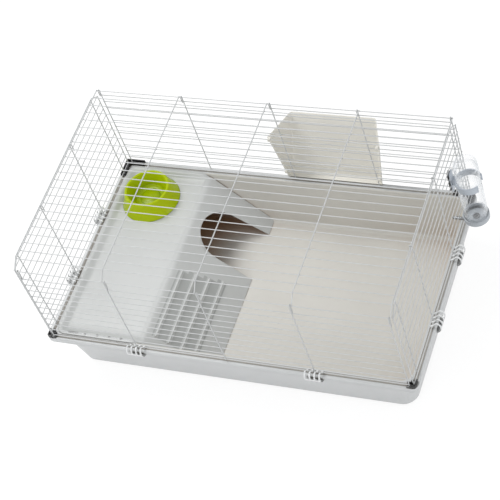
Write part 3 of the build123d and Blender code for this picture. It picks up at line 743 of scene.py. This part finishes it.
# Hay rack: a frosted beige tray of thin plastic, open at the top and towards the cage, with two
# pairs of flat hooks over the wires of the back panel.
rack_low, rack_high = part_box("hay_rack")
rack_wall = 0.0024
rack_x = (rack_low[0] + rack_high[0]) / 2
rack_y = leg_y + rib_radius + 0.0011
rack_bottom_z = rack_low[2]
rack_tall = rack_high[2] - rack_bottom_z
rack_depth_low = 0.022
rack_depth_high = 0.088
rack_half = 0.146
rack_corner = 0.009
side_lean = 0.021 / rack_tall
side_taper = 0.034 / rack_depth_high
front_lean = 1.08
sole_thick = 0.0026
sole_round = 0.0006
level_start = 0.001
hook_rows = (6, 1)
hook_gap = grid_radius + 0.00035
hook_wide = 0.007
hook_tall = 0.006
hook_cut = 0.0012
rack_paint = moulded("rack_beige", (0.70, 0.68, 0.62), (0.75, 0.73, 0.67), 0.45, 0.00015, 700, 0.4)
drawn_on_yz = Matrix(((0, 0, 1, 0), (1, 0, 0, 0), (0, 1, 0, 0), (0, 0, 0, 1)))


def rack_reach(y, z, inset):
    return rack_half - side_lean * (rack_high[2] - z) - side_taper * (y - rack_y) - inset


def rack_loop(z, inset, corner):
    depth = rack_depth_low + (rack_depth_high - rack_depth_low) * (z - rack_bottom_z) / rack_tall
    far = rack_y + depth - inset * front_lean
    near_reach = rack_reach(rack_y, z, inset)
    far_reach = rack_reach(far, z, inset)
    path = [(rack_x - near_reach, rack_y, z), (rack_x - far_reach, far, z)]
    path += [(rack_x + far_reach, far, z), (rack_x + near_reach, rack_y, z)]
    return rounded(path, corner, 6)


def soften_edges(mesh, width, angle=40):
    bmesh.ops.recalc_face_normals(mesh, faces=mesh.faces)
    sharp = [e for e in mesh.edges if e.is_manifold and e.calc_face_angle() > math.radians(angle)]
    bmesh.ops.bevel(
        mesh, geom=sharp, offset=width, segments=2, profile=0.5, affect="EDGES", clamp_overlap=True
    )


def merge_part(mesh, part, place):
    part.transform(place)
    data = bpy.data.meshes.new("part")
    part.to_mesh(data)
    part.free()
    mesh.from_mesh(data)
    bpy.data.meshes.remove(data)


def add_prism(mesh, outline, low, high, place, soft=0.0005):
    part = bmesh.new()
    rows = skin(part, [[Vector((u, v, w)) for u, v in outline] for w in (low, high)])
    part.faces.new(rows[0])
    part.faces.new(rows[1])
    soften_edges(part, soft)
    merge_part(mesh, part, place)


rack_mesh = bmesh.new()
rack_rings = []
for z in spaced(rack_bottom_z + level_start, (rack_tall - level_start) / 6, 7):
    rack_rings.append(rack_loop(z, 0, rack_corner) + rack_loop(z, rack_wall, rack_corner - rack_wall)[::-1])
sole_rings = [rack_loop(rack_bottom_z, sole_round, rack_corner - sole_round)]
sole_rings.append(rack_loop(rack_bottom_z + sole_thick, 0, rack_corner))
for rings in (rack_rings, sole_rings):
    rows = skin(rack_mesh, rings)
    rack_mesh.faces.new(rows[0])
    rack_mesh.faces.new(rows[-1])
soften_edges(rack_mesh, 0.0007, 50)
for row in hook_rows:
    z = wire_z + row * back_pitch + hook_gap
    reach = rack_reach(rack_y, z - hook_gap, rack_wall + hook_wide)
    tip = wire_y - hook_gap
    hook_outline = [
        (rack_y + rack_wall, z),
        (rack_y + rack_wall, z + rack_wall),
        (tip - rack_wall + hook_cut, z + rack_wall),
        (tip - rack_wall, z + rack_wall - hook_cut),
        (tip - rack_wall, z - hook_tall),
        (tip - 0.0004, z - hook_tall),
        (tip, z - 0.004),
        (tip, z),
    ]
    for low in (rack_x + reach, rack_x - reach - hook_wide):
        add_prism(rack_mesh, hook_outline, low, low + hook_wide, drawn_on_yz)
finish_piece("hay_rack_shell", rack_mesh, (rack_paint,), "rack", "hay_rack")

# Corner couplings: small black channels on the corners of the rim, which hold the ends of the
# bottom wires. The front ones are open to the front, so that the front panel swings out.
coupling_wall = 0.0023
coupling_width = 0.0126
coupling_tall = 0.009
coupling_sunk = 0.001
long_arm = 0.052
short_arm = 0.022
corner_cut = 0.003
corner_dip = 0.0009
corner_x = (wire_x + frame_x) / 2 + coupling_width / 2
corner_y = (wire_y + leg_y) / 2 + coupling_width / 2
coupling_paint = moulded("coupling_black", (0.012, 0.012, 0.013), (0.02, 0.02, 0.02), 0.34, 0.0001, 600)


def angle_outline(start_x, start_y, arm, wide):
    return [
        (start_x - arm, start_y),
        (start_x - arm, start_y - wide),
        (start_x - wide, start_y - wide),
        (start_x - wide, start_y - arm),
        (start_x, start_y - arm),
        (start_x, start_y - corner_cut),
        (start_x - corner_dip, start_y - corner_dip),
        (start_x - corner_cut, start_y),
    ]


for side_x, side_y in ((1, 1), (-1, 1), (1, -1), (-1, -1)):
    name = f"coupling_{'back' if side_y > 0 else 'front'}_{'right' if side_x > 0 else 'left'}"
    arm = long_arm if side_y > 0 else short_arm
    inward = coupling_width - coupling_wall
    outer = angle_outline(corner_x, corner_y, arm, coupling_wall)
    if side_y < 0:
        outer[0] = (corner_x - coupling_width, corner_y)
        outer[1] = (corner_x - coupling_width, corner_y - coupling_wall)
    place = Matrix.Diagonal((side_x, side_y, 1, 1))
    coupling_mesh = bmesh.new()
    sole = angle_outline(corner_x, corner_y, arm, coupling_width)
    add_prism(coupling_mesh, sole, rim_z, rim_z + coupling_floor, place)
    for wall in (angle_outline(corner_x - inward, corner_y - inward, arm - inward, coupling_wall), outer):
        add_prism(coupling_mesh, wall, rim_z + coupling_sunk, rim_z + coupling_tall, place)
    finish_piece(name + "_channel", coupling_mesh, (coupling_paint,), "base", name, 35)

# Clips: springy light grey plastic. Four fingers curl round a bottom wire, arch over the rim and
# join in a broad skirt that snaps under the rim's lip.
clip_thick = 0.0022
clip_half = 0.02
clip_reach = math.hypot(rim_reach, wire_rise + lip_depth) + 0.0006 + clip_thick / 2
finger_pitch = 0.012
finger_half = 0.002
eye_radius = 0.00265
crook = (0.0105, 0.0128)
clip_paint = moulded("clip_grey", (0.72, 0.73, 0.73), (0.78, 0.79, 0.79), 0.3, 0.0001, 700)


def curve_between(start, pull_start, pull_end, end, steps):
    made = []
    for k in range(1, steps + 1):
        t = k / steps
        shares = ((1 - t) ** 3, 3 * (1 - t) ** 2 * t, 3 * (1 - t) * t * t, t**3)
        corners = (start, pull_start, pull_end, end)
        made.append(tuple(sum(s * corner[n] for s, corner in zip(shares, corners)) for n in (0, 1)))
    return made


def add_strip(mesh, path, thick, low, high, place, soft=0.0005):
    part = bmesh.new()
    rings = []
    for k, (u, v) in enumerate(path):
        before = path[max(k - 1, 0)]
        after = path[min(k + 1, len(path) - 1)]
        length = math.hypot(after[0] - before[0], after[1] - before[1])
        along_u = (after[0] - before[0]) / length
        along_v = (after[1] - before[1]) / length
        steps = [(0, 0)]
        if k == 0:
            steps = [(-soft, soft), (0, 0)]
        elif k == len(path) - 1:
            steps = [(0, 0), (soft, soft)]
        for ahead, inset in steps:
            half = thick / 2 - inset
            bottom = low + inset
            top = high - inset
            flank = [(half - soft, bottom), (half, bottom + soft), (half, top - soft), (half - soft, top)]
            section = flank + [(-out, w) for out, w in reversed(flank)]
            middle_u = u + ahead * along_u
            middle_v = v + ahead * along_v
            rings.append(
                [Vector((middle_u + out * along_v, middle_v - out * along_u, w)) for out, w in section]
            )
    rows = skin(part, rings)
    part.faces.new(rows[0])
    part.faces.new(rows[-1])
    bmesh.ops.recalc_face_normals(part, faces=part.faces)
    merge_part(mesh, part, place)


finger_path = arc(0, 0, clip_reach, -70, 0, 12)
finger_path += curve_between((clip_reach, 0), (clip_reach, 0.007), (0.0165, 0.0165), crook, 8)
finger_path += curve_between(crook, (0.0065, 0.0103), (0.0042, eye_radius), (0.0003, eye_radius), 8)
finger_path += arc(0, 0, eye_radius, 95, 285, 9)
skirt_path = arc(0, 0, clip_reach, -73, -12, 12)
upright = Matrix(((1, 0, 0, 0), (0, 0, -1, 0), (0, 1, 0, 0), (0, 0, 0, 1)))
clip_places = {
    "clip_front_left": (hook_places[1], -wire_y, -90),
    "clip_front_right": (hook_places[3], -wire_y, -90),
    "clip_left_front": (-wire_x, side_ribs[1], 180),
    "clip_left_back": (-wire_x, side_ribs[0], 180),
    "clip_right_front": (wire_x, side_ribs[1], 0),
    "clip_right_back": (wire_x, side_ribs[0], 0),
}
for name, (x, y, turn) in clip_places.items():
    place = Matrix.Translation((x, y, wire_z)) @ Matrix.Rotation(math.radians(turn), 4, "Z") @ upright
    clip_mesh = bmesh.new()
    for middle in spaced(-1.5 * finger_pitch, finger_pitch, 4):
        low = middle - finger_half
        add_strip(clip_mesh, finger_path, clip_thick * 0.95, low, low + 2 * finger_half, place)
    add_strip(clip_mesh, skirt_path, clip_thick, -clip_half, clip_half, place)
    finish_piece(name + "_claw", clip_mesh, (clip_paint,), name, name, 35)

# Bottle body: a blown clear plastic bottle that hangs upside down, with a flat ringed end and
# three pressed-in rings round its wall. Its mouth is screwed into the cap.
bottle_radius = 0.029
bottle_wall = 0.0014
ring_deep = 0.0008
bottle_round = 0.007
bottle_inner = bottle_radius - bottle_wall - ring_deep
body_low, body_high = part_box("bottle_body")
bottle_place = ((body_low[0] + body_high[0]) / 2, (body_low[1] + body_high[1]) / 2, 0)
bottle_low = body_low[2]
bottle_high = body_high[2]
bottle_top = bottle_high - 0.001
water_clear = moulded("bottle_clear", (0.86, 0.89, 0.92), (0.90, 0.93, 0.96), 0.1, 0.00003, 60, 0.7)
clear_nodes = water_clear.node_tree.nodes
clear_links = water_clear.node_tree.links
clear_edge = add_node(clear_nodes, "LayerWeight", {"Blend": 0.4})
clear_share = add_node(clear_nodes, "MapRange", {"From Min": 0.35, "To Min": 0.05, "To Max": 0.7})
clear_links.new(clear_edge.outputs["Facing"], clear_share.inputs["Value"])
clear_links.new(clear_share.outputs["Result"], clear_nodes["Principled BSDF"].inputs["Alpha"])

bottle_profile = [(bottle_radius - bottle_wall, bottle_low), (bottle_radius, bottle_low)]
for z in (bottle_low + 0.016, bottle_top - 0.068, bottle_top - 0.022):
    for inward, up in ((0, 0), (ring_deep, 0.001), (ring_deep, 0.0025), (0, 0.0035)):
        bottle_profile.append((bottle_radius - inward, z + up))
bottle_profile += arc(bottle_radius - bottle_round, bottle_top - bottle_round, bottle_round, 0, 90, 7)
for radius in (0.0195, 0.0135):
    for inward, down in ((0, 0), (0.0008, 0.0009), (0.0016, 0.0009), (0.0024, 0)):
        bottle_profile.append((radius - inward, bottle_top - down))
bottle_profile += [(0.009, bottle_top), (0.0085, bottle_high - 0.0001), (0.008, bottle_high)]
bottle_profile += [(0, bottle_high), (0, bottle_top - 0.0015), (0.018, bottle_top - 0.0024)]
inner_round = bottle_round + 0.0016
bottle_profile += arc(bottle_radius - inner_round, bottle_top - inner_round, bottle_round, 90, 0, 7)
bottle_profile += [(bottle_inner, bottle_top - 0.02), (bottle_inner, bottle_low + 0.02), bottle_profile[0]]
bottle_mesh = bmesh.new()
revolve(bottle_mesh, bottle_profile, bottle_place)
bmesh.ops.remove_doubles(bottle_mesh, verts=bottle_mesh.verts, dist=1e-6)
finish_piece("bottle_shell", bottle_mesh, (water_clear,), "bottle", "bottle_body")

# Bottle cap: a moulded grey screw cap with a fluted grip, rings on its face and a dark hub
# round the spout. It is held by the thread of the bottle's mouth.
cap_low, cap_high = (corner[2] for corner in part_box("bottle_cap"))
cap_bore = 0.0041
cap_face = cap_low + 0.0018
cap_inside = cap_face + 0.003
cap_outer = bottle_radius + 0.0024
cap_round = 0.002
flute_count = 40
flute_depth = 0.0008
hub_radius = 0.0085
cap_steps = 240
cap_paint = moulded("cap_grey", (0.38, 0.41, 0.44), (0.43, 0.46, 0.49), 0.24, 0.00008, 800)
hub_paint = moulded("cap_hub", (0.03, 0.032, 0.035), (0.05, 0.052, 0.055), 0.3, 0.00008, 800)
cap_ring = cap_face + 0.0006
cap_profile = [(cap_bore, cap_low), (0.0078, cap_low), (hub_radius, cap_low + 0.0006), (0.0088, cap_face)]
cap_profile += [(0.014, cap_face), (0.0145, cap_ring), (0.0185, cap_ring), (0.019, cap_face)]
cap_profile += arc(cap_outer - cap_round, cap_face + cap_round, cap_round, -90, 0, 4)
cap_profile += [(cap_outer, cap_face + 0.0026, "fluted"), (cap_outer, cap_high - 0.002, "fluted")]
cap_profile += [(cap_outer, cap_high - 0.0016), (cap_outer - 0.0003, cap_high - 0.0002)]
cap_profile += [(cap_outer - 0.0008, cap_high), (cap_outer - 0.0017, cap_high)]
cap_profile += [(cap_outer - 0.002, cap_high - 0.0004), (cap_outer - 0.002, cap_inside)]
for near, far, up in ((0.0178, 0.0165, 0.0008), (0.0115, 0.0095, 0.0010), (0.0085, 0.0050, 0.0015)):
    cap_profile += [(near, cap_inside), (near - 0.0003, cap_inside + up)]
    cap_profile += [(far + 0.0003, cap_inside + up), (far, cap_inside)]
cap_profile += [(cap_bore, cap_inside), cap_profile[0]]
cap_mesh = bmesh.new()
revolve(cap_mesh, cap_profile, bottle_place, cap_steps, flute_count, flute_depth)
for face in cap_mesh.faces:
    middle = face.calc_center_median()
    off = math.hypot(middle.x - bottle_place[0], middle.y - bottle_place[1])
    face.material_index = 1 if off < hub_radius and middle.z > cap_face + 0.001 else 0
finish_piece("bottle_cap_shell", cap_mesh, (cap_paint, hub_paint), "base", "bottle_cap", 35)

# Cap seal: a soft black rubber ring with rounded edges. It lies in the cap, and the bottle's
# mouth presses on it.
seal_round = 0.0008
seal_tall = 0.003
seal_outer = 0.0282
seal_inner = 0.0248
seal_paint = moulded("seal_black", (0.06, 0.065, 0.07), (0.08, 0.085, 0.09), 0.6, 0.0001)
seal_profile = []
seal_low = cap_inside + seal_round
seal_high = cap_inside + seal_tall - seal_round
seal_edges = ((seal_outer, seal_low), (seal_outer, seal_high), (seal_inner, seal_high), (seal_inner, seal_low))
for k, (radius, z) in enumerate(seal_edges):
    seal_profile += arc(radius, z, seal_round, 90 * k - 90, 90 * k, 3)
seal_profile.append(seal_profile[0])
seal_mesh = bmesh.new()
revolve(seal_mesh, seal_profile, bottle_place)
bmesh.ops.remove_doubles(seal_mesh, verts=seal_mesh.verts, dist=1e-6)
finish_piece("cap_seal_ring", seal_mesh, (seal_paint,), "base", "cap_seal")

# Spout: a bent stainless steel tube, pressed into the cap. It leads between two grid wires into
# the cage, and its tip is crimped round a steel ball that a drinking rabbit pushes back.
tube_radius = 0.004
tube_bore = 0.003
tube_bend = 0.010
tube_sides = 24
ball_radius = 0.00289
spout_z = wire_z + 1.5 * side_pitch
spout_tip_x = wire_x - 0.017
spout_x, spout_y, _ = bottle_place
spout_run = ((spout_x, spout_y, cap_inside), (spout_x, spout_y, spout_z), (spout_tip_x, spout_y, spout_z))
spout_path = rounded(spout_run, tube_bend, 10)
steel_paint = moulded("spout_steel", (0.15, 0.155, 0.16), (0.20, 0.205, 0.21), 0.25, 0.00002, 2500)
steel_paint.node_tree.nodes["Principled BSDF"].inputs["Metallic"].default_value = 1.0


def tube_ring(k, radius, back=0.0):
    before = spout_path[max(k - 1, 0)]
    after = spout_path[min(k + 1, len(spout_path) - 1)]
    level = Vector((0, 1, 0))
    side = (after - before).normalized().cross(level)
    place = spout_path[k] + Vector((back, 0, 0))
    return [place + radius * (math.cos(t) * level + math.sin(t) * side) for t in full_turn(tube_sides)]


tip = len(spout_path) - 1
spout_rings = [tube_ring(k, tube_radius) for k in range(tip)]
for share, back in ((1, 0.0012), (0.92, 0.0003), (0.8, 0), (0.62, 0.0001), (0.61, 0.0008)):
    spout_rings.append(tube_ring(tip, tube_radius * share, back))
spout_rings.append(tube_ring(tip, tube_bore, 0.0009))
spout_rings += [tube_ring(k, tube_bore) for k in reversed(range(tip))]
spout_rings.append(spout_rings[0])
spout_mesh = bmesh.new()
skin(spout_mesh, spout_rings)
bmesh.ops.remove_doubles(spout_mesh, verts=spout_mesh.verts, dist=1e-6)
finish_piece("spout_tube_bent", spout_mesh, (steel_paint,), "base", "spout_tube")
ball_centre = [(low + high) / 2 for low, high in zip(*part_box("spout_ball"))]
ball_profile = [(max(u, 0), v) for u, v in arc(0, 0, ball_radius, -90, 90, 16)]
ball_mesh = bmesh.new()
revolve(ball_mesh, ball_profile, ball_centre, 32)
finish_piece("spout_ball_polished", ball_mesh, (steel_paint,), "ball", "spout_ball", 60)

# Bottle bracket: satin grey plastic, moulded in one with its stud. One open band grips the
# bottle, and the back plate lies against the outside of the grid.
bracket_low, bracket_high = (corner[2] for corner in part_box("bottle_bracket"))
wire_gap = 0.0003
plate_x = wire_x + grid_radius + wire_gap
plate_middle = (bracket_low + bracket_high) / 2
plate_wide = 0.020
plate_corner = 0.004
band_wall = 0.003
band_inner = bottle_radius + 0.0003
band_half = 0.010
mouth_half = 35
lip_radius = 0.0019
web_half = 0.007
web_tall = 0.0095
web_end = spout_x - band_inner - 0.0004
web_dip = 0.0008
sunk = 0.001
stud_radius = 0.004
stud_z = wire_z + 7.5 * side_pitch
lock_thick = 0.003
lock_x = wire_x - grid_radius - wire_gap
bracket_paint = moulded("bracket_grey", (0.42, 0.46, 0.51), (0.47, 0.51, 0.56), 0.26, 0.0001, 600)


def plate_outline(middle_v, wide, tall, corner):
    made = []
    for turn, (side_u, side_v) in enumerate(((1, 1), (-1, 1), (-1, -1), (1, -1))):
        round_u = spout_y + side_u * (wide / 2 - corner)
        round_v = middle_v + side_v * (tall / 2 - corner)
        made += arc(round_u, round_v, corner, turn * 90, turn * 90 + 90, 5)
    return made


bracket_mesh = bmesh.new()
plate = plate_outline(plate_middle, plate_wide, bracket_high - bracket_low, plate_corner)
add_prism(bracket_mesh, plate, plate_x, plate_x + band_wall, drawn_on_yz, 0.0006)
grip = arc(0, 0, band_inner + band_wall / 2, mouth_half + 2, 358 - mouth_half, 48)
at_bottle = Matrix.Translation((spout_x, spout_y, plate_middle))
add_strip(bracket_mesh, grip, band_wall, -band_half, band_half, at_bottle, 0.0006)
for end_u, end_v in (grip[0], grip[-1]):
    lip = arc(end_u + 0.0009, end_v, lip_radius, 0, 330, 11)
    add_prism(bracket_mesh, lip, -band_half, band_half, at_bottle, 0.0004)
web = [(plate_x + sunk, spout_y - web_half), (web_end, spout_y - web_half), (web_end - web_dip, spout_y)]
web += [(web_end, spout_y + web_half), (plate_x + sunk, spout_y + web_half)]
add_prism(bracket_mesh, web, plate_middle - web_tall, plate_middle + web_tall, Matrix.Identity(4))
stud = arc(spout_y, stud_z, stud_radius, 0, 345, 23)
add_prism(bracket_mesh, stud, lock_x - lock_thick, plate_x + sunk, drawn_on_yz, 0.0004)
finish_piece(
    "bottle_bracket_grip", bracket_mesh, (bracket_paint,), "base", "bottle_bracket", 35
)

# Lock plate: a thin black plastic plate inside the grid. The bracket's stud passes between the
# wires into its hole and draws the two together on the grid.
lock_wide = 0.016
lock_tall = 0.062
lock_paint = moulded("lock_black", (0.014, 0.014, 0.015), (0.022, 0.022, 0.023), 0.36, 0.0001, 600)
lock_rings = []
for inset, x in ((0.0006, -lock_thick), (0, 0.0006 - lock_thick), (0, -0.0004), (0.0004, 0)):
    outline = plate_outline(stud_z, lock_wide - 2 * inset, lock_tall - 2 * inset, plate_corner - inset)
    lock_rings.append([Vector((lock_x + x, u, v)) for u, v in outline])
hole = arc(spout_y, stud_z, stud_radius + 0.00005, 7.5, 352.5, 23)
for x in (lock_x, lock_x - lock_thick):
    lock_rings.append([Vector((x, u, v)) for u, v in hole])
lock_rings.append(lock_rings[0])
lock_mesh = bmesh.new()
skin(lock_mesh, lock_rings)
bmesh.ops.remove_doubles(lock_mesh, verts=lock_mesh.verts, dist=1e-6)
finish_piece("lock_plate_black", lock_mesh, (lock_paint,), "base", "bracket_lock_plate", 35)
